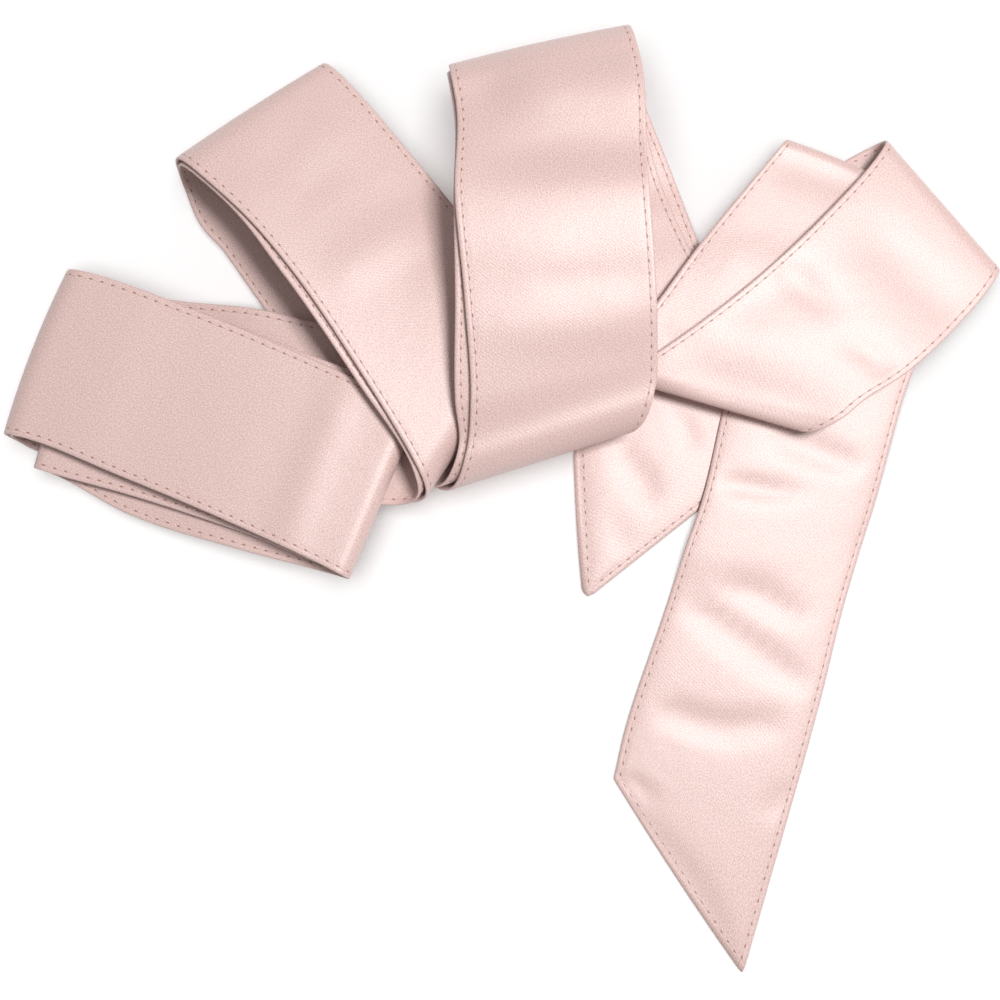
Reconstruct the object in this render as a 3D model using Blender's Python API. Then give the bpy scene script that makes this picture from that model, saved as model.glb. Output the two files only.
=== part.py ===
"""Satin sash, folded double, wound into three loops and a bow loop, with two slanted tails.

The sash is one long flat band. It is doubled at its middle, and the doubled band is
wound three times, so each loop has an outer and an inner layer. The band is described
by its two long edges, A and B, as they run from the tip of the long tail to the tip of
the short one. Each row of a table is one place where the band lies, or one fold.

Tables are in millimetres, the finished meshes in metres. +Z is up and the sash lies on Z = 0.
"""
from collections import namedtuple
from math import cos, pi, sin, sqrt

import bmesh
import bpy
import numpy as np

# Driving sizes in millimetres
WALL = 1.2                # two plies of satin with their turned-in hem
REST = WALL / 2           # height of the cloth's middle where it lies on the surface
SEAM_GAP = 0.3            # between one stretch of the band and the next
FOLD_STEPS = 8            # sections in the half turn of a fold
ACROSS = 4                # faces across the band
SHOWN_STEP = 9.0          # distance between sections where the stretch shows
HIDDEN_STEP = 18.0        # and where another stretch covers it
SEAM_CLEAR = 0.5          # no section comes closer than this to a seam
TINY_STEP = 0.05          # for the direction of the cloth at a section
MM = 0.001
HEAP_MIDDLE = (0.996, 0.505)  # middle of the heap's outline in the tables' own x and y

# Where the band lies: places of edges A and B and their heights. gap is how far the inner
# layer lies from the outer one, drift how far it has slipped towards edge A, and bulge how
# far the band's middle runs ahead of its edges.
Lie = namedtuple("Lie", "ax ay bx by high_a high_b gap drift bulge", defaults=(1.8, 0, 0))

# Where the band folds over: the ends of the fold's outermost line, its lowest and highest
# level at each edge, turn +1 where it folds upwards and -1 downwards. deep stretches the
# fold's nose, and lean is the cosine between the fold's line and the band, if given.
Fold = namedtuple(
    "Fold",
    "ax ay bx by low_a low_b high_a high_b turn gap drift bulge deep lean",
    defaults=(1.8, 0, 0, 1, None),
)

HALF_FOLD = Fold(-133.5, 9.0, -118.5, 55.5, 4.2, 4.2, 8.0, 8.0, -1, bulge=0.5)

DOUBLE_BAND = [
    # first loop, underneath, from the sash's middle to the right
    Lie(-106.0, -4.5, -91.5, 43.5, 4.6, 5.2, gap=3.2, drift=-5.5),
    Lie(-74.0, -14.5, -57.5, 33.0, 7.2, 7.6, gap=2.2, drift=-5.0),
    Fold(-42.0, -23.0, -22.5, 24.0, 8.8, 8.4, 15.6, 15.6, +1, drift=-2.0),
    # first loop, on top, back to the left
    Lie(-74.0, -7.6, -54.5, 39.6, 14.9, 14.9, drift=-1.0),
    Lie(-106.5, 6.0, -88.0, 53.7, 13.0, 13.5),
    Fold(-142.0, 18.5, -124.5, 65.5, REST, REST, 12.0, 12.5, -1, bulge=1.2, lean=-0.12),
    # second loop, underneath
    Lie(-101.0, 9.0, -92.0, 57.5, 1.0, 1.6),
    Lie(-76.0, 4.5, -68.0, 54.5, 2.4, 3.9),
    Lie(-60.5, 2.0, -51.0, 50.5, 4.1, 4.1),
    Fold(-20.5, 0.0, 11.5, 47.0, 5.5, 5.4, 20.0, 20.0, +1, drift=1.5),
    # second loop, on top
    Lie(-38.0, 33.5, -6.0, 73.0, 22.0, 18.0, drift=2.2),
    Lie(-58.0, 63.0, -21.5, 93.0, 23.0, 13.0, drift=2.2),
    Fold(-93.0, 96.5, -51.8, 126.6, REST, REST, 21.0, 10.0, -1, drift=0.5, bulge=0.5),
    # third loop, underneath
    Lie(-79.8, 71.5, -41.5, 102.0, REST, REST),
    Lie(-66.4, 53.5, -28.0, 86.5, REST, REST, drift=0.3),
    Lie(-43.5, 31.5, -8.0, 66.0, REST, 1.0, drift=1.5),
    Fold(-14.0, 2.0, 38.0, 18.5, 0.8, 2.4, 21.0, 22.0, +1, drift=2.5),
    # third loop, on top
    Lie(-8.0, 26.0, 43.0, 39.0, 26.0, 25.0, drift=4.2),
    Lie(-9.5, 52.0, 42.0, 57.5, 32.0, 32.0, drift=2.6),
    Lie(-12.0, 78.5, 40.0, 84.0, 35.0, 35.0, drift=0.5),
    Fold(-14.5, 123.0, 36.5, 135.0, REST, REST, 26.0, 24.0, -1, drift=0.9, bulge=1.5, lean=0.05),
]

OUTER_END = [
    # the outer layer runs under the bow, over it and back beneath it as the short tail
    Lie(-0.5, 89.0, 51.0, 94.0, 1.6, 0.8),
    Lie(8.0, 67.5, 61.5, 64.5, 3.2, 3.9),
    Fold(31.5, 34.6, 86.5, 18.6, 5.8, 4.3, 11.5, 13.0, +1, deep=1.3),
    Lie(45.0, 41.6, 102.0, 27.0, 12.2, 12.8),
    Lie(63.5, 54.9, 114.0, 34.7, 13.0, 12.2),
    Lie(90.5, 78.8, 131.0, 50.0, 12.0, 10.5),
    Fold(112.0, 104.5, 144.0, 67.0, REST, REST, 9.5, 9.0, -1),
    Lie(85.0, 87.0, 117.5, 46.5, REST, REST),
    Lie(52.5, 57.5, 85.5, 19.5, REST, REST),
    Lie(21.5, 32.5, 24.0, -29.5, REST, REST, bulge=1.3),
]

INNER_END = [
    # the inner layer leaves the outer one in the bow and comes down as the long tail
    Lie(-4.0, 86.0, 46.5, 93.5, 3.4, 2.6),
    Lie(6.0, 63.5, 58.5, 64.5, 5.0, 5.7),
    Fold(29.5, 39.0, 81.0, 24.5, 7.6, 6.0, 10.4, 9.2, +1, deep=1.3),
    Lie(58.0, 74.0, 96.5, 42.5, 8.6, 9.0),
    Fold(83.5, 104.5, 125.0, 85.5, 2.2, 2.4, 8.0, 7.6, -1, bulge=1.2),
    Lie(74.5, 62.5, 125.0, 55.0, 2.3, 2.3),
    Lie(64.5, 26.0, 115.5, 25.5, 2.3, 2.3),
    Lie(57.8, -1.5, 108.0, -2.0, 2.3, 1.0),
    Lie(53.3, -14.0, 104.0, -14.5, 2.0, REST),
    Lie(48.5, -29.0, 99.5, -29.0, REST, REST),
    Lie(38.5, -57.5, 91.5, -59.5, REST, REST),
    Lie(32.5, -80.0, 68.5, -134.0, REST, REST, bulge=0.8),
]

# Stretches from the long tail's tip to the short tail's, and whether each one shows.
STRETCHES = [
    ("tail_long", True),
    ("bow_inner", True),
    ("bow_root_inner", False),
    ("loop3_top_inner", False),
    ("loop3_under_inner", True),
    ("loop2_top_inner", False),
    ("loop2_under_inner", True),
    ("loop1_top_inner", False),
    ("loop1_under_inner", False),
    ("loop1_under_outer", True),
    ("loop1_top_outer", True),
    ("loop2_under_outer", False),
    ("loop2_top_outer", True),
    ("loop3_under_outer", False),
    ("loop3_top_outer", True),
    ("bow_root_outer", True),
    ("bow_outer", True),
    ("tail_short", True),
]

SATIN_FACE = (0.80, 0.60, 0.56)
SATIN_ROUGHNESS = 0.45


def clear_scene():
    for thing in list(bpy.data.objects):
        bpy.data.objects.remove(thing, do_unlink=True)


def unit(v):
    return v / np.linalg.norm(v)


def fold_points(row, coming, leaving):
    """Edges A and B and the middle's run ahead, round one fold from coming to leaving."""
    a, b = np.array([row.ax, row.ay]), np.array([row.bx, row.by])
    along = unit(b - a)
    outward = np.array([-along[1], along[0]])
    if outward @ coming < 0:
        outward = -outward
    lean = (coming @ along + leaving @ along) / 2 if row.lean is None else row.lean
    slip = lean / sqrt(1 - lean * lean) * (1 + row.deep) / 2
    found = []
    for k in range(FOLD_STEPS + 1):
        turned = pi * k / FOLD_STEPS
        pair = []
        for corner, low, high in ((a, row.low_a, row.high_a), (b, row.low_b, row.high_b)):
            radius = (high - low) / 2
            inset = radius * row.deep * (sin(turned) - 1) - WALL / 2
            place = corner + outward * inset + along * radius * (turned - pi / 2) * slip
            pair.append((*place, (high + low) / 2 - row.turn * radius * cos(turned)))
        found.append((*pair, (*(outward * row.bulge), 0.0)))
    return found


def band_points(rows):
    """Edge A, edge B and the middle's run ahead for a list of rows, and each row's count."""
    middles = [np.array([(r.ax + r.bx) / 2, (r.ay + r.by) / 2]) for r in rows]
    points, counts = [], []
    for i, row in enumerate(rows):
        coming = unit(middles[i] - middles[i - 1]) if i else None
        leaving = unit(middles[i + 1] - middles[i]) if i + 1 < len(rows) else coming
        if isinstance(row, Fold):
            found = fold_points(row, -leaving if coming is None else coming, leaving)
        else:
            ahead = (leaving if coming is None else coming) * row.bulge
            found = [((row.ax, row.ay, row.high_a), (row.bx, row.by, row.high_b), (*ahead, 0.0))]
        points += found
        counts.append(len(found))
    return np.array(points), counts


def inward(band):
    """Unit vectors from the outer layer towards the inner one, and across the band."""
    travel = np.gradient(band[:, :2].mean(axis=1), axis=0)
    across = band[:, 1] - band[:, 0]
    normal = np.cross(travel, across)
    length = np.linalg.norm(normal, axis=1)[:, None]
    return normal / length, across / np.linalg.norm(across, axis=1)[:, None]


def whole_band():
    """All points of the sash from tip to tip, and which of them are the middles of folds."""
    outer, counts = band_points([HALF_FOLD] + DOUBLE_BAND + OUTER_END)
    doubled = counts[1:len(DOUBLE_BAND) + 1]
    shared = slice(counts[0], counts[0] + sum(doubled))
    gap = np.repeat([r.gap for r in DOUBLE_BAND], doubled)[:, None]
    drift = np.repeat([r.drift for r in DOUBLE_BAND], doubled)[:, None]
    normal, across = inward(outer)
    inner = outer[shared].copy()
    inner[:, :2] += (normal[shared] * gap - across[shared] * drift)[:, None]
    (ax, ay, az), (bx, by, bz), _ = inner[-1]
    own, own_counts = band_points([Lie(ax, ay, bx, by, az, bz)] + INNER_END)
    band = np.concatenate([own[:0:-1], inner[::-1], outer])
    sizes = own_counts[:0:-1] + doubled[::-1] + counts
    starts = np.cumsum([0] + sizes[:-1])
    folds = [start + FOLD_STEPS // 2 for start, size in zip(starts, sizes) if size > 1]
    return band, folds


def way_along(band):
    """Distance along the band's middle at each of its points."""
    steps = np.linalg.norm(np.diff(band[:, :2].mean(axis=1), axis=0), axis=1)
    return np.concatenate([[0.0], np.cumsum(steps)])


def slopes(band, way):
    """Slopes of the smooth curves: rounded in plan, and never over the points in height."""
    slope = np.gradient(band, way, axis=0)
    rise = np.diff(band[..., 2], axis=0) / np.diff(way)[:, None]
    before, after = rise[:-1], rise[1:]
    even = before * after > 0
    both = np.where(even, before + after, 1.0)
    slope[1:-1, :, 2] = np.where(even, 2 * before * after / both, 0.0)
    slope[[0, -1], :, 2] = 0.0
    return slope


def place_on(band, way, slope, t):
    """Edge A, edge B and the middle's run ahead at the distance t along the band."""
    i = int(np.clip(np.searchsorted(way, t, side="right") - 1, 0, len(way) - 2))
    span = way[i + 1] - way[i]
    s = (t - way[i]) / span
    return (
        (2 * s**3 - 3 * s**2 + 1) * band[i]
        + (s**3 - 2 * s**2 + s) * span * slope[i]
        + (3 * s**2 - 2 * s**3) * band[i + 1]
        + (s**3 - s**2) * span * slope[i + 1]
    )


def across_line(place):
    """The points of one section, from edge A to edge B."""
    a, b, ahead = place
    part = np.linspace(0.0, 1.0, ACROSS + 1)[:, None]
    return a * (1 - part) + b * part + ahead * 4 * part * (1 - part)


def sections(way, first, last, step):
    """Distances of a stretch's sections: each known point, and more where they are far apart."""
    inside = [w for w in way if first + SEAM_CLEAR < w < last - SEAM_CLEAR]
    marks = [first] + inside + [last]
    found = [first]
    for low, high in zip(marks, marks[1:]):
        parts = max(1, round((high - low) / step))
        found += [low + (high - low) * k / parts for k in range(1, parts + 1)]
    return found


def both_faces(band, way, slope, at):
    """The points of the two faces of a stretch, half a wall each side of its middle."""
    upper, lower = [], []
    for t in at:
        here = across_line(place_on(band, way, slope, t))
        before = across_line(place_on(band, way, slope, max(t - TINY_STEP, 0.0)))
        after = across_line(place_on(band, way, slope, min(t + TINY_STEP, way[-1])))
        normal = np.cross(after - before, np.gradient(here, axis=0))
        normal /= np.linalg.norm(normal, axis=1)[:, None]
        upper.append(here + normal * WALL / 2)
        lower.append(here - normal * WALL / 2)
    return upper, lower


def satin():
    material = bpy.data.materials.new("satin")
    material.use_nodes = True
    shader = material.node_tree.nodes["Principled BSDF"]
    shader.inputs["Base Color"].default_value = (*SATIN_FACE, 1.0)
    shader.inputs["Roughness"].default_value = SATIN_ROUGHNESS
    shader.inputs["Metallic"].default_value = 0.0
    return material


def cloth_stretch(name, upper, lower, material):
    """A closed strip: rings of points round each section, joined and capped at both ends."""
    bm = bmesh.new()
    middle = np.array([*HEAP_MIDDLE, 0.0])
    rings = []
    for top, bottom in zip(upper, lower):
        ring = [bm.verts.new((p - middle) * MM) for p in (*top, *bottom[::-1])]
        rings.append(ring)
    for ring, following in zip(rings, rings[1:]):
        for k in range(len(ring)):
            bm.faces.new((ring[k - 1], ring[k], following[k], following[k - 1]))
    half = ACROSS + 1
    for ring in (rings[0], rings[-1]):
        for k in range(ACROSS):
            bm.faces.new((ring[k], ring[k + 1], ring[2 * half - 2 - k], ring[2 * half - 1 - k]))
    bmesh.ops.recalc_face_normals(bm, faces=bm.faces)
    mesh = bpy.data.meshes.new(name)
    bm.to_mesh(mesh)
    bm.free()
    mesh.shade_smooth()
    mesh.materials.append(material)
    piece = bpy.data.objects.new(name, mesh)
    bpy.context.scene.collection.objects.link(piece)


def main():
    clear_scene()
    band, folds = whole_band()
    way = way_along(band)
    slope = slopes(band, way)
    marks = [way[0]] + [way[f] for f in folds] + [way[-1]]
    material = satin()
    for (name, shown), start, end in zip(STRETCHES, marks, marks[1:]):
        first = start if start == way[0] else start + SEAM_GAP / 2
        last = end if end == way[-1] else end - SEAM_GAP / 2
        at = sections(way, first, last, SHOWN_STEP if shown else HIDDEN_STEP)
        upper, lower = both_faces(band, way, slope, at)
        cloth_stretch(name, upper, lower, material)


main()
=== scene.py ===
# %% [markdown]
# The solids of the sash come as a imported frame, in metres and with +Z up. They could be
# dressed one by one, but cloth runs on from stretch to stretch without a seam. So this
# script builds the whole sash anew in the same place, and hides them.

# %% Frame and tools
from collections import namedtuple
from math import cos, pi, radians, sin, sqrt

import bmesh
import bpy
import numpy as np
from mathutils import Matrix, Vector


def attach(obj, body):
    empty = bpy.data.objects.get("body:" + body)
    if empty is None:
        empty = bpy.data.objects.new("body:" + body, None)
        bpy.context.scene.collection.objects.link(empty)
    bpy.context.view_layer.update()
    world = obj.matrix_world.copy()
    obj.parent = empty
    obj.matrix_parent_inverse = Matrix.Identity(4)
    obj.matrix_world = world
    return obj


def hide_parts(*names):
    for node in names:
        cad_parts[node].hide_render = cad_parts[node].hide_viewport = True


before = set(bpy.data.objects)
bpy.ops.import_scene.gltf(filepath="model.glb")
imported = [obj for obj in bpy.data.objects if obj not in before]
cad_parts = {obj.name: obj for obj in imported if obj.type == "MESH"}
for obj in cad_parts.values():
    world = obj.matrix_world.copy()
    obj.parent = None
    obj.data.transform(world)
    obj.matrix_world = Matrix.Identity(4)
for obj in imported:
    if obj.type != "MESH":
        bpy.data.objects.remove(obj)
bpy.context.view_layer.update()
MM = 0.001
print("solids:", len(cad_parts))

# %% [markdown]
# The object is one satin sash. Two plies of satin are sewn into a flat band 51 mm wide and
# about 2.2 m long, both ends cut on a slant. It is folded double at its middle and the
# doubled band is wound into three loops and a bow, then laid down.
# Such a heap could be dropped by a cloth simulation, but where each loop falls would then be
# luck. The band is close to a ruled strip, so it is enough to know its two long edges, A and
# B. Every table row below is one place where the band lies, or one fold, in millimetres:
# - ax ay bx by: where edges A and B are on the table plane
# - high_a high_b: the edges' heights, and for a fold low_a low_b as well
# - turn: +1 for a fold that rises as the band runs on, -1 for one that comes down
# - gap: how far the inner layer keeps from the outer one, and drift, its slip sideways
# - bulge: how far the middle of the band runs ahead of its edges
# - deep: how long a fold's nose is for its height, and lean, how slanted the band meets it
#
# HEAP_MIDDLE is the middle of the heap's outline in the table's numbers, and the frame's
# origin. PLY_REST is the height of the cloth's middle where it lies on the table. A fold is
# drawn in FOLD_STEPS steps.

# %% Where the band lies
HEAP_MIDDLE = (0.996, 0.505)
PLY_REST = 0.6
FOLD_STEPS = 8

Lie = namedtuple("Lie", "ax ay bx by high_a high_b gap drift bulge", defaults=(1.8, 0, 0))
Fold = namedtuple(
    "Fold",
    "ax ay bx by low_a low_b high_a high_b turn gap drift bulge deep lean",
    defaults=(1.8, 0, 0, 1, None),
)

HALF_FOLD = Fold(-133.5, 9.0, -118.5, 55.5, 4.2, 4.2, 8.0, 8.0, -1, bulge=0.5)
DOUBLE_BAND = [
    # first loop, under and over
    Lie(-106.0, -4.5, -91.5, 43.5, 4.6, 5.2, gap=3.2, drift=-5.5),
    Lie(-74.0, -14.5, -57.5, 33.0, 7.2, 7.6, gap=2.2, drift=-5.0),
    Fold(-42.0, -23.0, -22.5, 24.0, 8.8, 8.4, 15.6, 15.6, +1, drift=-2.0),
    Lie(-74.0, -7.6, -54.5, 39.6, 14.9, 14.9, drift=-1.0),
    Lie(-106.5, 6.0, -88.0, 53.7, 13.0, 13.5),
    Fold(-142.0, 18.5, -124.5, 65.5, PLY_REST, PLY_REST, 12.0, 12.5, -1,
         bulge=1.2, lean=-0.12),
    # second loop, under and over
    Lie(-101.0, 9.0, -92.0, 57.5, 1.0, 1.6),
    Lie(-76.0, 4.5, -68.0, 54.5, 2.4, 3.9),
    Lie(-60.5, 2.0, -51.0, 50.5, 4.1, 4.1),
    Fold(-20.5, 0.0, 11.5, 47.0, 5.5, 5.4, 20.0, 20.0, +1, drift=1.5),
    Lie(-38.0, 33.5, -6.0, 73.0, 22.0, 18.0, drift=2.2),
    Lie(-58.0, 63.0, -21.5, 93.0, 23.0, 13.0, drift=2.2),
    Fold(-93.0, 96.5, -51.8, 126.6, PLY_REST, PLY_REST, 21.0, 10.0, -1,
         drift=0.5, bulge=0.5, lean=-0.22),
    # third loop, under and over
    Lie(-79.8, 71.5, -41.5, 102.0, PLY_REST, PLY_REST),
    Lie(-66.4, 53.5, -28.0, 86.5, PLY_REST, PLY_REST, drift=0.3),
    Lie(-43.5, 31.5, -8.0, 66.0, PLY_REST, 1.0, drift=1.5),
    Fold(-14.0, 2.0, 38.0, 18.5, 0.8, 2.4, 21.0, 22.0, +1, drift=2.5),
    Lie(-8.0, 26.0, 43.0, 39.0, 26.0, 25.0, drift=4.2),
    Lie(-9.5, 52.0, 42.0, 57.5, 32.0, 32.0, drift=2.6),
    Lie(-12.0, 78.5, 40.0, 84.0, 35.0, 35.0, drift=0.5),
    Fold(-14.5, 123.0, 36.5, 135.0, PLY_REST, PLY_REST, 26.0, 24.0, -1,
         drift=0.9, bulge=0.5, lean=0.05),
]
OUTER_END = [
    # under the bow, over it, and back beneath it as the short tail
    Lie(-0.5, 89.0, 51.0, 94.0, 1.6, 0.8),
    Lie(8.0, 67.5, 61.5, 64.5, 3.2, 3.9),
    Fold(31.5, 34.6, 86.5, 18.6, 5.8, 4.3, 11.5, 13.0, +1, deep=1.3),
    Lie(45.0, 41.6, 102.0, 27.0, 12.2, 12.8),
    Lie(63.5, 54.9, 114.0, 34.7, 13.0, 12.2),
    Lie(90.5, 78.8, 131.0, 50.0, 12.0, 10.5),
    Fold(112.0, 104.5, 144.0, 67.0, PLY_REST, PLY_REST, 9.5, 9.0, -1, lean=-0.26),
    Lie(85.0, 87.0, 117.5, 46.5, PLY_REST, PLY_REST),
    Lie(52.5, 57.5, 85.5, 19.5, PLY_REST, PLY_REST),
    Lie(21.5, 32.5, 24.0, -29.5, PLY_REST, PLY_REST, bulge=1.3),
]
INNER_END = [
    # the inner layer's own way over the bow, and down as the long tail
    Lie(-4.0, 86.0, 46.5, 93.5, 3.4, 2.6),
    Lie(6.0, 63.5, 58.5, 64.5, 5.0, 5.7),
    Fold(29.5, 39.0, 81.0, 24.5, 7.6, 6.0, 10.4, 9.2, +1, deep=1.3),
    Lie(58.0, 74.0, 96.5, 42.5, 8.6, 9.0),
    Fold(83.5, 104.5, 125.0, 85.5, 2.2, 2.4, 8.0, 7.6, -1, bulge=1.2),
    Lie(74.5, 62.5, 125.0, 55.0, 2.3, 2.3),
    Lie(64.5, 26.0, 115.5, 25.5, 2.3, 2.3),
    Lie(57.8, -1.5, 108.0, -2.0, 2.3, 1.0),
    Lie(53.3, -14.0, 104.0, -14.5, 2.0, PLY_REST),
    Lie(48.5, -29.0, 99.5, -29.0, PLY_REST, PLY_REST),
    Lie(38.5, -57.5, 91.5, -59.5, PLY_REST, PLY_REST),
    Lie(32.5, -80.0, 69.0, -135.2, PLY_REST, PLY_REST, bulge=0.8),
]
print("rows:", 1 + len(DOUBLE_BAND) + len(OUTER_END) + len(INNER_END))

# %% [markdown]
# A fold is a half turn. Each edge goes round its own half circle, and where the fold's line
# isn't square to the band, the points also slip along that line, as paper tape does.

# %% Folds


def unit(v):
    """A vector of length 1 that points the same way."""
    return v / np.linalg.norm(v)


def length_along(line):
    """Length from the first point of a line to each of its points."""
    steps = np.linalg.norm(np.diff(line, axis=0), axis=1)
    return np.concatenate([[0.0], np.cumsum(steps)])


def fold_points(row, coming, leaving):
    """Edge A, edge B and the middle's run ahead, round one fold."""
    a, b = np.array([row.ax, row.ay]), np.array([row.bx, row.by])
    along = unit(b - a)
    outward = np.array([-along[1], along[0]])
    if outward @ coming < 0:
        outward = -outward
    lean = (coming @ along + leaving @ along) / 2 if row.lean is None else row.lean
    slip = lean / sqrt(1 - lean * lean) * (1 + row.deep) / 2
    found = []
    for k in range(FOLD_STEPS + 1):
        turned = pi * k / FOLD_STEPS
        pair = []
        for corner, low, high in ((a, row.low_a, row.high_a), (b, row.low_b, row.high_b)):
            radius = (high - low) / 2
            inset = radius * row.deep * (sin(turned) - 1) - PLY_REST
            place = corner + outward * inset + along * radius * (turned - pi / 2) * slip
            pair.append((*place, (high + low) / 2 - row.turn * radius * cos(turned)))
        found.append((*pair, (*(outward * row.bulge), 0.0)))
    return found


def band_points(rows):
    """The points of a list of rows, and how many each row gives."""
    middles = [np.array([(r.ax + r.bx) / 2, (r.ay + r.by) / 2]) for r in rows]
    points, counts = [], []
    for i, row in enumerate(rows):
        coming = unit(middles[i] - middles[i - 1]) if i else None
        leaving = unit(middles[i + 1] - middles[i]) if i + 1 < len(rows) else coming
        if isinstance(row, Fold):
            found = fold_points(row, -leaving if coming is None else coming, leaving)
        else:
            ahead = (leaving if coming is None else coming) * row.bulge
            found = [((row.ax, row.ay, row.high_a), (row.bx, row.by, row.high_b), (*ahead, 0.0))]
        points += found
        counts.append(len(found))
    return np.array(points), counts


outer_layer, outer_counts = band_points([HALF_FOLD] + DOUBLE_BAND + OUTER_END)
print("points of the outer layer:", len(outer_layer))

# %% [markdown]
# The inner layer of the doubled band follows the outer one at its own distance, on the side
# that faces into the loop, and has slipped a little sideways. Both layers joined at the
# half-way fold give the whole sash, from the long tail's tip to the short tail's.

# %% The whole sash from tip to tip
doubled = outer_counts[1:len(DOUBLE_BAND) + 1]
shared = slice(outer_counts[0], outer_counts[0] + sum(doubled))
gap = np.repeat([r.gap for r in DOUBLE_BAND], doubled)[:, None]
drift = np.repeat([r.drift for r in DOUBLE_BAND], doubled)[:, None]
travel = np.gradient(outer_layer[:, :2].mean(axis=1), axis=0)
across = outer_layer[:, 1] - outer_layer[:, 0]
inward = np.cross(travel, across)
inward /= np.linalg.norm(inward, axis=1)[:, None]
across /= np.linalg.norm(across, axis=1)[:, None]
inner_layer = outer_layer[shared].copy()
inner_layer[:, :2] += (inward[shared] * gap - across[shared] * drift)[:, None]
(ax, ay, az), (bx, by, bz), _ = inner_layer[-1]
own_end, own_counts = band_points([Lie(ax, ay, bx, by, az, bz)] + INNER_END)
band = np.concatenate([own_end[:0:-1], inner_layer[::-1], outer_layer])
row_sizes = own_counts[:0:-1] + doubled[::-1] + outer_counts
row_starts = np.cumsum([0] + row_sizes[:-1])

way = length_along(band[:, :2].mean(axis=1))
folds_at = [
    way[start + FOLD_STEPS // 2] for start, size in zip(row_starts, row_sizes) if size > 1
]
print("length along the middle:", round(way[-1]), "mm, folds:", len(folds_at))

# %% [markdown]
# The rows are joined by smooth curves. In plan they are rounded; in height they never swing
# past a row, so that cloth which lies on the table doesn't dip into it. The band is then cut
# into sections 1.6 mm apart, fine enough for a fold 8 mm across.

# %% A smooth band through the rows
slope = np.gradient(band, way, axis=0)
rise = np.diff(band[..., 2], axis=0) / np.diff(way)[:, None]
before, after = rise[:-1], rise[1:]
steady = before * after > 0
mean_rise = 2 * before * after / np.where(steady, before + after, 1.0)
slope[1:-1, :, 2] = np.where(steady, mean_rise, 0.0)
slope[[0, -1], :, 2] = 0.0


def places_at(at):
    """Edge A, edge B and the middle's run ahead at distances along the band."""
    i = np.clip(np.searchsorted(way, at, side="right") - 1, 0, len(way) - 2)
    span = way[i + 1] - way[i]
    s = ((at - way[i]) / span)[:, None, None]
    span = span[:, None, None]
    return (
        (2 * s**3 - 3 * s**2 + 1) * band[i]
        + (s**3 - 2 * s**2 + s) * span * slope[i]
        + (3 * s**2 - 2 * s**3) * band[i + 1]
        + (s**3 - s**2) * span * slope[i + 1]
    )


def band_surface(at, part):
    """Points of the band's middle surface: distances along it by shares of its width."""
    place = places_at(at)
    part = np.asarray(part)[None, :, None]
    a, b, ahead = place[:, None, 0], place[:, None, 1], place[:, None, 2]
    return a * (1 - part) + b * part + ahead * 4 * part * (1 - part)


SECTION_STEP = 1.6
MEASURING_POINTS = 30001
fine = np.linspace(0.0, way[-1], MEASURING_POINTS)
fine_length = length_along(band_surface(fine, [0.5])[:, 0])
length_at = np.linspace(0.0, fine_length[-1], int(fine_length[-1] / SECTION_STEP) + 1)
at = np.interp(length_at, fine_length, fine)
print("sections:", len(at), "length of the cloth's middle:", round(length_at[-1]), "mm")

# %% [markdown]
# The sections across the band are a grid of points, closest together at the two edges,
# where the hem is sewn: the line of topstitching runs 1.7 mm in from each edge.

# %% Points of the band
BAND_WIDTH = 51.0
SEAM_IN = 1.7
FROM_EDGE = [0.0, 0.45, 1.0, SEAM_IN, 2.4, 3.4, 5.4, 8.4, 12.0, 16.0, 20.5]
from_a = FROM_EDGE + [BAND_WIDTH / 2] + [BAND_WIDTH - p for p in FROM_EDGE[::-1]]
part = np.array(from_a) / BAND_WIDTH
to_side = np.minimum(part, 1 - part) * BAND_WIDTH
points = band_surface(at, part)
print("grid:", points.shape[0], "by", points.shape[1], "points")

# %% [markdown]
# The two ends are cut on a slant and hemmed like the edges. For each point of a tail, its
# distance in from the slanted end and along it are kept, for the hem and its stitches. Any
# other point counts as FAR away.

# %% Measure in from the slanted ends
STRETCHES = [
    "tail_long", "bow_inner", "bow_root_inner", "loop3_top_inner", "loop3_under_inner",
    "loop2_top_inner", "loop2_under_inner", "loop1_top_inner", "loop1_under_inner",
    "loop1_under_outer", "loop1_top_outer", "loop2_under_outer", "loop2_top_outer",
    "loop3_under_outer", "loop3_top_outer", "bow_root_outer", "bow_outer", "tail_short",
]
FAR = 1000.0
marks = [0.0] + folds_at + [way[-1]]
inside = {
    name: (at >= start) & (at <= stop)
    for name, start, stop in zip(STRETCHES, marks, marks[1:])
}
end_in = np.full(points.shape[:2], FAR)
end_along = np.full(points.shape[:2], FAR)
for name, row in (("tail_long", 0), ("tail_short", -1)):
    first, last = points[row, 0, :2], points[row, -1, :2]
    run = unit(last - first)
    offset = points[inside[name]][..., :2] - first
    end_along[inside[name]] = offset @ run
    end_in[inside[name]] = np.abs(offset[..., 0] * run[1] - offset[..., 1] * run[0])
    print(name, "end is", round(np.linalg.norm(last - first), 1), "mm long")
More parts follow.
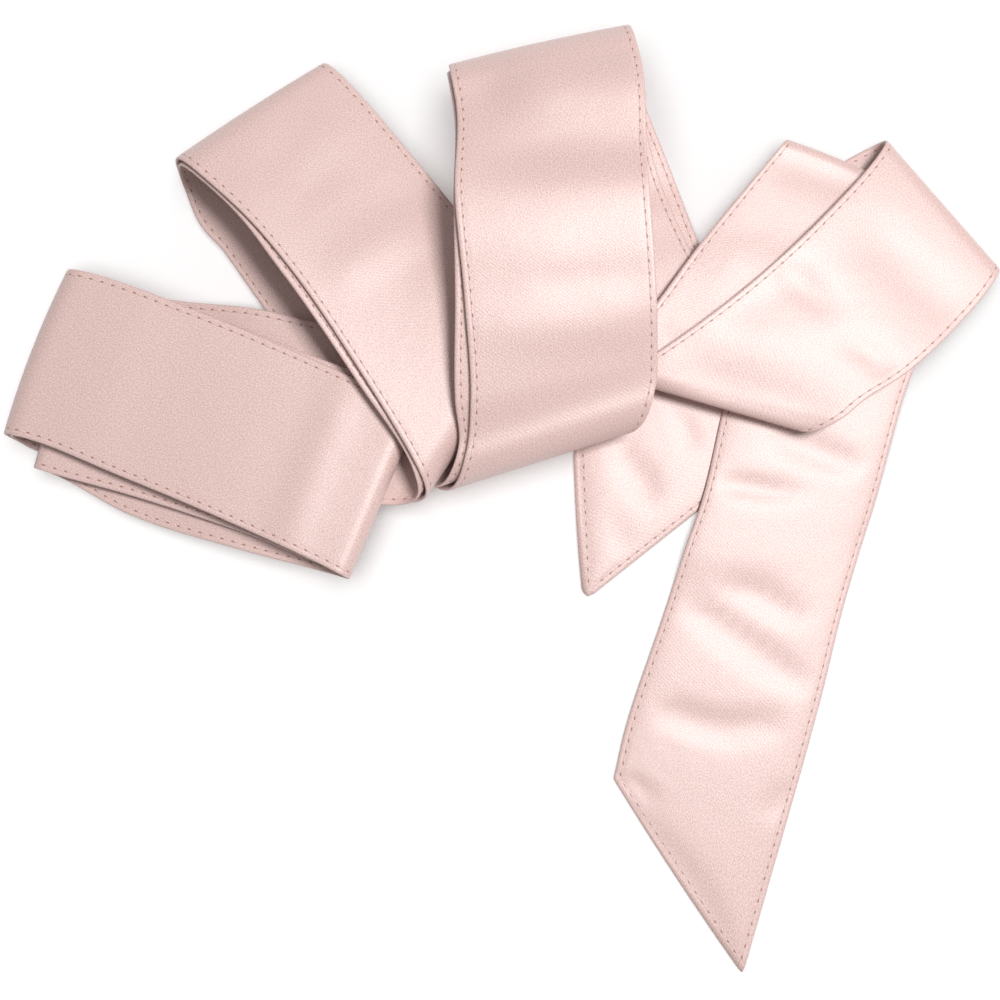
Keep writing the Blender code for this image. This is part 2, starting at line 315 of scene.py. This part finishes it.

# %% [markdown]
# Satin keeps soft creases from folding and pressing. Noise would spread them evenly, but
# here each one has its own place, so each is a shallow trough or ridge, listed with its
# two ends on the table plane, its height (a trough is negative) and its width, in
# millimetres. They fade out at both ends. Both layers of a doubled stretch were pressed
# together, so they share their creases, and the hidden stretches have some too. The tails
# lie on the table, so there the cloth is first raised a little, and the troughs sink back
# into that. A crease starts at TIP_SHARE of its height at its ends and rises from there.

# %% Creases
Crease = namedtuple("Crease", "x0 y0 x1 y1 height width")
CREASES = {
    "tail_long": [
        Crease(80.0, 18.5, 102.0, 9.5, -1.2, 4.0),
        Crease(64.0, 5.0, 84.0, 1.5, -1.0, 3.4),
        Crease(67.0, -23.0, 86.0, -35.0, -1.0, 3.8),
        Crease(56.0, -31.0, 86.0, -53.0, -1.3, 4.0),
        Crease(47.0, -60.0, 66.0, -67.5, -1.2, 4.2),
        Crease(63.0, -67.0, 79.0, -63.0, -0.9, 4.2),
        Crease(34.5, -80.5, 43.0, -84.0, -0.9, 3.0),
        Crease(77.0, -91.0, 82.0, -82.0, -0.7, 3.0),
        Crease(50.0, -103.0, 66.0, -131.0, -0.9, 3.6),
        Crease(42.0, -92.0, 52.0, -108.0, -0.5, 3.0),
    ],
    "bow_inner": [
        Crease(60.0, 69.0, 90.0, 62.0, 0.9, 8.0),
        Crease(78.0, 98.0, 104.0, 90.0, -0.9, 6.0),
        Crease(40.0, 48.0, 62.0, 36.0, -0.9, 6.0),
    ],
    "loop2_top": [
        Crease(-75.0, 80.0, -40.0, 108.0, 0.5, 9.0),
        Crease(-30.0, 88.0, -20.0, 60.0, -0.5, 7.0),
        Crease(-46.0, 60.0, -24.0, 78.0, 0.9, 8.0),
        Crease(-66.0, 98.0, -48.0, 86.0, -0.7, 8.0),
    ],
    "loop1_top": [
        Crease(-62.0, -20.0, -42.0, 34.0, 0.8, 6.0),
        Crease(-118.0, 12.0, -100.0, 56.0, 0.3, 10.0),
    ],
    "loop3_top": [
        Crease(2.0, 112.0, 44.0, 115.0, 3.4, 9.5),
        Crease(-4.0, 92.0, 48.0, 94.0, -2.0, 8.0),
        Crease(-20.0, 70.0, 20.0, 66.0, 0.5, 9.0),
        Crease(12.0, 57.0, 42.0, 59.0, -0.5, 5.0),
        Crease(-6.0, 44.0, 44.0, 46.0, 0.6, 6.0),
    ],
    "loop1_under": [
        Crease(-112.0, 2.0, -70.0, -6.0, 0.4, 7.0),
        Crease(-86.0, 24.0, -50.0, 12.0, 0.5, 6.0),
    ],
    "loop2_under": [
        Crease(-96.0, 22.0, -60.0, 14.0, 0.5, 7.0),
        Crease(-72.0, 40.0, -40.0, 36.0, 0.4, 6.0),
    ],
    "loop3_under": [
        Crease(-78.0, 88.0, -40.0, 74.0, 0.6, 7.0),
        Crease(-60.0, 62.0, -34.0, 70.0, 0.5, 6.0),
        Crease(-36.0, 40.0, -10.0, 52.0, 0.5, 6.0),
    ],
    "bow_root": [
        Crease(-4.0, 104.0, 44.0, 98.0, 0.6, 7.0),
        Crease(8.0, 80.0, 52.0, 84.0, 0.5, 6.0),
    ],
    "bow_outer": [
        Crease(80.0, 66.0, 94.0, 53.0, -0.7, 4.5),
        Crease(99.0, 45.0, 110.0, 36.0, -0.8, 4.0),
        Crease(52.0, 34.5, 96.0, 20.5, -1.7, 9.0),
        Crease(104.0, 78.0, 132.0, 50.0, -1.0, 9.0),
        Crease(62.0, 52.0, 90.0, 62.0, -0.8, 8.0),
    ],
    "tail_short": [
        Crease(34.0, 12.5, 45.0, 1.5, -1.1, 4.2),
        Crease(50.0, 22.5, 57.0, 18.0, -0.8, 3.0),
        Crease(31.0, -8.0, 38.0, -14.0, -0.4, 4.0),
    ],
}
TAIL_RAISE = 1.0
RAISE_IN = 4.5
CREASE_FADE = 6.0
TIP_SHARE = 0.4
TIP_RISE = 3.0
FOLD_EASE = 3.0


def crease_height(points, creases):
    """Height in millimetres that a list of creases adds at points."""
    added = np.zeros(points.shape[:-1])
    for c in creases:
        start, stop = np.array([c.x0, c.y0]), np.array([c.x1, c.y1])
        run = stop - start
        along = (points[..., :2] - start) @ run / (run @ run)
        nearest = start + np.clip(along, 0, 1)[..., None] * run
        off = np.linalg.norm(points[..., :2] - nearest, axis=-1)
        fade = np.clip(np.minimum(along, 1 - along) * TIP_RISE + TIP_SHARE, 0.0, 1.0)
        added += c.height * fade * np.exp(-((off / c.width) ** 2))
    return added


creased = [
    (name, creases) for name in STRETCHES for key, creases in CREASES.items()
    if name in (key, key + "_outer", key + "_inner")
]
for name, creases in creased:
    rows = inside[name]
    number = STRETCHES.index(name)
    added = crease_height(points[rows], creases)
    from_start, from_stop = at[rows] - marks[number], marks[number + 1] - at[rows]
    if name.startswith("tail"):
        to_fold = (from_stop if name == "tail_long" else from_start)[:, None]
        near = np.minimum(np.minimum(end_in[rows], to_side), to_fold / FOLD_EASE)
        raised = TAIL_RAISE * (1 - np.exp(-near / RAISE_IN))
        added = np.maximum(added * np.clip(near / CREASE_FADE, 0, 1) + raised, 0.0)
    else:
        added *= np.clip(np.minimum(from_start, from_stop) / CREASE_FADE, 0, 1)[:, None]
    points[rows, :, 2] += added
    print(name, "creases:", len(creases), "heights:", added.min().round(1), added.max().round(1))

# %% [markdown]
# A sewn corner is turned right side out, so it is never quite sharp. A bevel would leave the
# grid of points, so points outside a small circle in each corner of the two ends are drawn
# back onto it instead. After that, all points move to the frame's origin.

# %% Round the corners of the ends
CORNER_ROWS = 30


def round_corner(rows, end, side, radius):
    """Draw the points near one corner of an end back onto a circle."""
    tip = points[end, side, :2].copy()
    along_end = unit(points[end, part.size // 2, :2] - tip)
    along_side = unit(points[rows][-1 if end == 0 else 0, side, :2] - tip)
    half = np.arccos(along_end @ along_side) / 2
    centre = tip + unit(along_end + along_side) * radius / sin(half)
    place = points[rows][..., :2] - centre
    off = np.linalg.norm(place, axis=-1)
    outside = (place @ unit(tip - centre) > radius * sin(half)) & (off > radius)
    pulled = place * (radius / np.maximum(off, radius))[..., None]
    points[rows, :, :2] = centre + np.where(outside[..., None], pulled, place)


CORNER_RADII = [(0, 0, 1.6), (0, -1, 0.6), (-1, 0, 2.0), (-1, -1, 2.0)]
for end, side, radius in CORNER_RADII:
    rows = slice(0, CORNER_ROWS) if end == 0 else slice(-CORNER_ROWS, None)
    round_corner(rows, end, side, radius)
points[..., :2] -= HEAP_MIDDLE
print("corners rounded:", len(CORNER_RADII))

# %% [markdown]
# Thread follows the cloth's surface, so the cloth's own directions are needed: along the
# band, across it, and straight out of its face.

# %% Directions on the cloth
cloth_along = np.gradient(points, axis=0)
cloth_across = np.gradient(points, axis=1)
cloth_out = np.cross(cloth_along, cloth_across)
cloth_out /= np.linalg.norm(cloth_out, axis=2)[..., None]
seam_columns = (FROM_EDGE.index(SEAM_IN), len(part) - 1 - FROM_EDGE.index(SEAM_IN))
seam_length = {j: length_along(points[:, j]) for j in seam_columns}
print("seam lengths:", [round(seam_length[j][-1]) for j in seam_columns], "mm")

# %% [markdown]
# The band itself is one grid of faces, bent onto those points. A UV map keeps each point's
# place on the flat cloth in metres, so weave and seams follow the cloth round every fold.
# Two more maps hold the distance along a seam and in from its edge, one for the long edges
# and one for the slanted ends. Where two seams cross in a corner, each stops at the other.
# A Solidify modifier gives the thickness. A vertex group says how thick the band is across:
# thin at the folded edge, pinched in the stitch line and fuller beside it, because the hem
# is turned in under the seam.

# %% The satin band


def new_piece(name, bm):
    """Turn a bmesh into an object of that name in the scene."""
    mesh = bpy.data.meshes.new(name)
    bm.to_mesh(mesh)
    bm.free()
    piece = bpy.data.objects.new(name, mesh)
    bpy.context.scene.collection.objects.link(piece)
    return piece


HAIR = 0.01
BAND_THICK = 1.1
SHARE_FROM_EDGE = [0.35, 0.78, 0.95, 0.60, 0.88, 1.0, 0.9, 0.8, 0.75, 0.72, 0.7]
share = SHARE_FROM_EDGE + [0.7] + SHARE_FROM_EDGE[::-1]
share_at_end = np.interp(end_in, FROM_EDGE, SHARE_FROM_EDGE)

bm = bmesh.new()
columns, lines = len(at) - 1, len(part) - 1
bmesh.ops.create_grid(bm, x_segments=columns, y_segments=lines, size=1.0)
flat_map = bm.loops.layers.uv.new("flat")
seam_map = bm.loops.layers.uv.new("seam")
end_map = bm.loops.layers.uv.new("end")
thick = bm.verts.layers.deform.verify()
past_side = to_side < SEAM_IN - HAIR
past_end = end_in < SEAM_IN - HAIR
spot = {}
for vert in bm.verts:
    i, j = round((vert.co.x + 1) / 2 * columns), round((vert.co.y + 1) / 2 * lines)
    spot[vert.index] = (i, j)
    vert.co = Vector(points[i, j]) * MM
    vert[thick][0] = min(share[j], share_at_end[i, j])
for face in bm.faces:
    face.smooth = True
    for loop in face.loops:
        i, j = spot[loop.vert.index]
        side = seam_columns[0 if from_a[j] < BAND_WIDTH / 2 else 1]
        loop[flat_map].uv = (length_at[i] * MM, from_a[j] * MM)
        seam_in = FAR if past_end[i, j] else to_side[j]
        loop[seam_map].uv = (seam_length[side][i] * MM, seam_in * MM)
        hem_in = FAR if past_side[j] else end_in[i, j]
        loop[end_map].uv = (end_along[i, j] * MM, hem_in * MM)
sash = new_piece("satin_band", bm)
sash.vertex_groups.new(name="thick")
plies = sash.modifiers.new("plies", "SOLIDIFY")
plies.thickness = BAND_THICK * MM
plies.offset = 0.0
plies.vertex_group = "thick"
print("band faces before its thickness:", len(sash.data.polygons))

# %% [markdown]
# One line of topstitching holds the hem. A lockstitch shows as short raised threads with a
# needle hole between them, the same on both faces. It could be drawn in the material alone,
# but real threads catch the light. First their places are found: down both long edges, and
# then across each slanted end, where the line of the seam runs aslant over the grid.

# %% Where the stitches lie
STITCH_PITCH = 3.3
THREAD_LENGTH = 2.5
THREAD_WIDTH = 0.42
THREAD_HEIGHT = 0.30
NEAR_SEAM = 1.2
seam_half = BAND_THICK * SHARE_FROM_EDGE[FROM_EDGE.index(SEAM_IN)] / 2
stitch_places = []


def add_stitches(line, out):
    """Stitches on both faces along a line of points, given the way out of the cloth."""
    length = length_along(line)
    for middle in np.arange(STITCH_PITCH / 2, length[-1] - STITCH_PITCH / 2, STITCH_PITCH):
        here, before, after = (
            np.array([np.interp(middle + shift, length, line[:, k]) for k in range(3)])
            for shift in (0.0, -THREAD_LENGTH / 2, THREAD_LENGTH / 2)
        )
        up = unit(np.array([np.interp(middle, length, out[:, k]) for k in range(3)]))
        for face in (up, -up):
            stitch_places.append((here + face * seam_half, unit(after - before), face))


for j in seam_columns:
    add_stitches(points[:, j], cloth_out[:, j])
for name in ("tail_long", "tail_short"):
    near = (np.abs(end_in - SEAM_IN) < NEAR_SEAM) & (end_along < FAR) & inside[name][:, None]
    order = np.argsort(end_along[near])
    spots, outs = points[near][order], cloth_out[near][order]
    at_end = np.arange(SEAM_IN, end_along[near].max() - SEAM_IN, STITCH_PITCH / 2)
    corner = points[0 if name == "tail_long" else -1]
    run = unit(corner[-1, :2] - corner[0, :2])
    inwards = spots[:, :2].mean(axis=0) - (corner[0, :2] + corner[-1, :2]) / 2
    inwards = unit(inwards - (inwards @ run) * run)
    line = np.zeros((len(at_end), 3))
    line[:, :2] = corner[0, :2] + at_end[:, None] * run + SEAM_IN * inwards
    line[:, 2] = np.interp(at_end, end_along[near][order], spots[:, 2])
    up = np.array([[0.0, 0.0, np.sign(outs[:, 2].mean())]] * len(line))
    add_stitches(line, up)
print("stitches:", len(stitch_places))

# %% [markdown]
# Each stitch is a small ball of few faces, drawn out along the seam and half sunk in the
# cloth. There are thousands, and a new ball for each would take minutes. So one ball is made
# once, moved to each place, copied in, and moved back.

# %% Sew the stitches
bm = bmesh.new()
size = Matrix.Diagonal((THREAD_WIDTH / 2, THREAD_HEIGHT / 2, THREAD_LENGTH / 2, 1.0))
bmesh.ops.create_uvsphere(bm, u_segments=6, v_segments=4, radius=1.0, matrix=size)
for face in bm.faces:
    face.smooth = True
one_stitch = bpy.data.meshes.new("one_stitch")
bm.to_mesh(one_stitch)
bm.clear()
for place, along, face in stitch_places:
    aside = unit(np.cross(face, along))
    turned = Matrix(np.array([aside, np.cross(along, aside), along]).T.tolist()).to_4x4()
    where = Matrix.Scale(MM, 4) @ Matrix.Translation(place) @ turned
    one_stitch.transform(where)
    bm.from_mesh(one_stitch)
    one_stitch.transform(where.inverted())
bpy.data.meshes.remove(one_stitch)
stitches = new_piece("topstitching", bm)
print("stitch faces:", len(stitches.data.polygons))

# %% [markdown]
# Materials are node trees. Colours are written as they look on a screen and turned into the
# linear values that a renderer works with. One helper adds a node with its settings and links.

# %% Colours and the node helper


def linear(code):
    """A hex sRGB colour as linear red, green, blue and alpha."""
    values = [int(code[i:i + 2], 16) / 255 for i in (1, 3, 5)]
    return [v / 12.92 if v <= 0.04045 else ((v + 0.055) / 1.055) ** 2.4 for v in values] + [1.0]


def node(tree, kind, settings=None, inputs=None):
    """Add one node. An input is a value, or a node and output to link it to."""
    made = tree.nodes.new(kind)
    for name, value in (settings or {}).items():
        setattr(made, name, value)
    for name, value in (inputs or {}).items():
        if isinstance(value, tuple) and isinstance(value[0], bpy.types.Node):
            tree.links.new(value[0].outputs[value[1]], made.inputs[name])
        else:
            made.inputs[name].default_value = value
    return made


def new_material(name):
    """A material with an empty node tree, and that tree."""
    material = bpy.data.materials.new(name)
    material.use_nodes = True
    material.node_tree.nodes.clear()
    return material, material.node_tree


WHITE = linear("#FFFFFF")
DUSTY_PINK = linear("#DFC6C1")
print("dusty pink in linear values:", [round(v, 2) for v in DUSTY_PINK])

# %% [markdown]
# The cloth is polyester satin: long floats of smooth yarn on the face, pressed flat. That
# gives a broad soft gleam where it faces the light, and a deeper pink where it turns away.
# The slanted lines of a real weave are about 0.2 mm apart, too fine to show at this size, so
# they are drawn 0.75 mm apart and faint. The pink is speckled in spots about 0.4 mm wide:
# partly the yarn's slight unevenness, and partly painted sparkle, since the brighter spots
# stand in for the glints of satin. An image of satin could be laid on instead, but a pattern
# worked out in millimetres stays sharp and never repeats.

# %% Weave and speckle of the satin
RIB_SPACING = 0.75 * MM
RIB_SLANT = radians(-42)
WAVES_PER_UNIT = 20 / (2 * pi)
GRAINS_PER_METRE = 2400.0
GRAIN_CONTRAST = (0.33, 0.67)
SWELLS_PER_METRE = 110.0
satin, tree = new_material("woven_polyester_satin")
flat = node(tree, "ShaderNodeUVMap", {"uv_map": "flat"})
turned = node(tree, "ShaderNodeMapping", inputs={
    "Vector": (flat, "UV"), "Rotation": (0, 0, RIB_SLANT)})
ribs = node(tree, "ShaderNodeTexWave", {"wave_type": "BANDS", "bands_direction": "X"}, {
    "Vector": (turned, "Vector"), "Scale": 1 / RIB_SPACING / WAVES_PER_UNIT,
    "Distortion": 1.0, "Detail": 2.0, "Detail Scale": 2.0})
speckle = node(tree, "ShaderNodeTexNoise", inputs={
    "Vector": (flat, "UV"), "Scale": GRAINS_PER_METRE, "Detail": 3.0, "Roughness": 0.7})
# partly painted sparkle: the brighter spots of this speckle stand in for satin's glints, the
# rest is the yarn's unevenness
grain_and_sparkle_tone = node(tree, "ShaderNodeMapRange", inputs={
    "Value": (speckle, "Fac"), "From Min": GRAIN_CONTRAST[0], "From Max": GRAIN_CONTRAST[1]})
swell = node(tree, "ShaderNodeTexNoise", inputs={
    "Vector": (flat, "UV"), "Scale": SWELLS_PER_METRE, "Detail": 3.0})
tone = node(tree, "ShaderNodeMix", {"data_type": "RGBA"}, {
    "A": linear("#B8928B"), "B": DUSTY_PINK, "Factor": (grain_and_sparkle_tone, "Result")})
print("grain width in mm:", round(1 / GRAINS_PER_METRE / MM, 2))

# %% [markdown]
# Between two stitches the thread goes down through a needle hole, a small dip in the cloth.
# Cutting thousands of holes would make a heavy mesh, so the two seam maps place each hole in
# the material: one every stitch along the seam, and only on its line. The hole is a bump,
# and its dark colour is painted shade, for the shade inside a real hole.

# %% Needle holes of the seams
HOLE_LONG = 0.55
HOLE_WIDE = 0.22
HOLE_EDGE = (0.5, 1.4)


def seam_dips(name):
    """How near a point is to a needle hole of the seam map of that name, from 0 to 1."""
    place = node(tree, "ShaderNodeSeparateXYZ", inputs={
        "Vector": (node(tree, "ShaderNodeUVMap", {"uv_map": name}), "UV")})
    along = node(tree, "ShaderNodeMath", {"operation": "PINGPONG"}, {
        0: (place, "X"), 1: STITCH_PITCH * MM / 2})
    along = node(tree, "ShaderNodeMath", {"operation": "DIVIDE"}, {
        0: (along, 0), 1: HOLE_LONG * MM})
    aside = node(tree, "ShaderNodeMath", {"operation": "SUBTRACT"}, {
        0: (place, "Y"), 1: SEAM_IN * MM})
    aside = node(tree, "ShaderNodeMath", {"operation": "DIVIDE"}, {
        0: (aside, 0), 1: HOLE_WIDE * MM})
    off = node(tree, "ShaderNodeCombineXYZ", inputs={"X": (along, 0), "Y": (aside, 0)})
    off = node(tree, "ShaderNodeVectorMath", {"operation": "LENGTH"}, {0: (off, "Vector")})
    return node(tree, "ShaderNodeMapRange", {"interpolation_type": "SMOOTHSTEP"}, {
        "Value": (off, "Value"), "From Min": HOLE_EDGE[0], "From Max": HOLE_EDGE[1],
        "To Min": 1.0, "To Max": 0.0})


hole_dip_and_shade = node(tree, "ShaderNodeMath", {"operation": "MAXIMUM"}, {
    0: (seam_dips("seam"), "Result"), 1: (seam_dips("end"), "Result")})
# painted shade: the colour is darkened at each needle hole, for the shade inside it
colour_with_painted_hole_shade = node(tree, "ShaderNodeMix", {"data_type": "RGBA"}, {
    "Factor": (hole_dip_and_shade, 0), "A": (tone, "Result"), "B": linear("#93695F")})
print("needle holes every", STITCH_PITCH, "mm")

# %% [markdown]
# Four bumps lie on each other, from coarse to fine: the swell of cloth that isn't quite flat,
# the lines of the weave, the grains, and the needle holes. Polyester has an IOR of about 1.6.
# A roughness of 0.46 spreads the gleam as wide as the photo shows, and a little sheen lifts
# the edges that turn away.

# %% Satin shader
SWELL_BUMP = {"Strength": 0.3, "Distance": 0.5 * MM}
RIB_BUMP = {"Strength": 0.1, "Distance": 0.1 * MM}
GRAIN_BUMP = {"Strength": 0.4, "Distance": 0.14 * MM}
HOLE_BUMP = {"Strength": 0.5, "Distance": 0.2 * MM}
swell_bump = node(tree, "ShaderNodeBump", inputs={"Height": (swell, "Fac"), **SWELL_BUMP})
rib_bump = node(tree, "ShaderNodeBump", inputs={
    "Height": (ribs, "Fac"), "Normal": (swell_bump, "Normal"), **RIB_BUMP})
grain_bump = node(tree, "ShaderNodeBump", inputs={
    "Height": (speckle, "Fac"), "Normal": (rib_bump, "Normal"), **GRAIN_BUMP})
hole_bump = node(tree, "ShaderNodeBump", {"invert": True}, {
    "Height": (hole_dip_and_shade, 0), "Normal": (grain_bump, "Normal"), **HOLE_BUMP})
shader = node(tree, "ShaderNodeBsdfPrincipled", inputs={
    "Base Color": (colour_with_painted_hole_shade, "Result"), "Normal": (hole_bump, "Normal"),
    "Roughness": 0.46, "IOR": 1.6, "Specular IOR Level": 0.75,
    "Sheen Weight": 0.12, "Sheen Roughness": 0.5})
node(tree, "ShaderNodeOutputMaterial", inputs={"Surface": (shader, "BSDF")})
sash.data.materials.append(satin)
print("satin nodes:", len(tree.nodes))

# %% [markdown]
# The thread is spun polyester in the same pink: a little duller than satin, because its
# fibres are short and twisted. The twist is about 0.3 mm long, and shows as a change of tone.

# %% Thread
TWISTS_PER_METRE = 3000.0
thread, tree = new_material("spun_polyester_thread")
place = node(tree, "ShaderNodeTexCoord")
twist = node(tree, "ShaderNodeTexNoise", inputs={
    "Vector": (place, "Object"), "Scale": TWISTS_PER_METRE, "Detail": 1.0})
tone = node(tree, "ShaderNodeMix", {"data_type": "RGBA"}, {
    "A": linear("#CBA59D"), "B": linear("#E0C4BE"), "Factor": (twist, "Fac")})
shader = node(tree, "ShaderNodeBsdfPrincipled", inputs={
    "Base Color": (tone, "Result"), "Roughness": 0.55, "IOR": 1.55, "Sheen Weight": 0.2})
node(tree, "ShaderNodeOutputMaterial", inputs={"Surface": (shader, "BSDF")})
stitches.data.materials.append(thread)
print("thread nodes:", len(tree.nodes))

# %% [markdown]
# Both pieces ride on the one body. The band is built in place of all the solids, which are
# hidden, and is one sheet of cloth, 51 mm wide.

# %% Place the sash in the frame
for piece in (sash, stitches):
    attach(piece, "root")
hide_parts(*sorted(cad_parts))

# %% [markdown]
# The sash lies on a white table. A broad floor of matt paper stands for it: paper scatters
# light evenly, so its roughness is high and nothing mirrors in it.

# %% Floor
FLOOR_REACH = 3.0
bm = bmesh.new()
bmesh.ops.create_grid(bm, x_segments=1, y_segments=1, size=FLOOR_REACH)
floor = new_piece("floor", bm)
paper, tree = new_material("matt_white_paper")
matt = node(tree, "ShaderNodeBsdfPrincipled", inputs={"Base Color": WHITE, "Roughness": 0.9})
node(tree, "ShaderNodeOutputMaterial", inputs={"Surface": (matt, "BSDF")})
floor.data.materials.append(paper)
print("floor side:", 2 * FLOOR_REACH, "m")

# %% [markdown]
# A bright even surround, like a white tent, fills the shadows. A softbox above and to the
# right gives the satin its gleam, which grows from left to right over the heap.
# In the photo the sash is cut out on pure white, with hardly a shadow round it. One lamp for
# all would either leave the table grey or burn out the pinks. So each lamp has a list of what
# it lights: the right softbox lights the sash and its stitches, and a second one straight
# above lights only the table. The standard view keeps the colours as they are.

# %% Light
SURROUND_STRENGTH = 0.34
bpy.context.scene.view_settings.view_transform = "Standard"
tent = bpy.data.worlds.new("white_tent")
bpy.context.scene.world = tent
tent.use_nodes = True
surround = tent.node_tree.nodes["Background"]
surround.inputs["Color"].default_value = WHITE
surround.inputs["Strength"].default_value = SURROUND_STRENGTH


def softbox(name, place, size, power, lit):
    """A square lamp that faces the middle of the sash and lights only what is given."""
    lamp = bpy.data.lights.new(name, "AREA")
    lamp.size = size
    lamp.energy = power
    thing = bpy.data.objects.new(name, lamp)
    thing.location = place
    thing.rotation_euler = (-Vector(place)).to_track_quat("-Z", "Y").to_euler()
    bpy.context.scene.collection.objects.link(thing)
    lit_things = bpy.data.collections.new(name + "_lights")
    for piece in lit:
        lit_things.objects.link(piece)
    thing.light_linking.receiver_collection = lit_things
    print(name, "at", place, "m, side", size, "m, power", power, "W")


softbox("right_softbox", place=(0.35, 0.13, 1.0), size=0.30, power=12.2, lit=(sash, stitches))
softbox("table_softbox", place=(0.0, 0.0, 1.6), size=1.6, power=24.0, lit=(floor,))

# %% [markdown]
# The camera looks almost straight down, tilted 3 degrees, from about 40 cm. That distance
# was found from how much larger the raised loops look than the tails on the table. The lens
# follows from it, so that the picture is 290 mm wide on the table.

# %% Camera
EYE = 400.0
TILT = radians(3.0)
PICTURE_WIDTH = 290.0
SENSOR = 36.0
NEAREST_SEEN = 10.0
camera_data = bpy.data.cameras.new("camera")
camera_data.sensor_width = SENSOR
camera_data.lens = SENSOR * EYE / PICTURE_WIDTH
camera_data.clip_start = NEAREST_SEEN * MM
camera = bpy.data.objects.new("camera", camera_data)
aim = Vector((-HEAP_MIDDLE[0], -HEAP_MIDDLE[1], 0.0)) * MM
camera.location = aim + Vector((0.0, -sin(TILT), cos(TILT))) * EYE * MM
camera.rotation_euler = (TILT, 0.0, 0.0)
bpy.context.scene.collection.objects.link(camera)
bpy.context.scene.camera = camera
print("camera lens:", round(camera_data.lens, 1), "mm")

# %% [markdown]
# Last, the scene is brought up to date.

# %% Finish
bpy.context.view_layer.update()
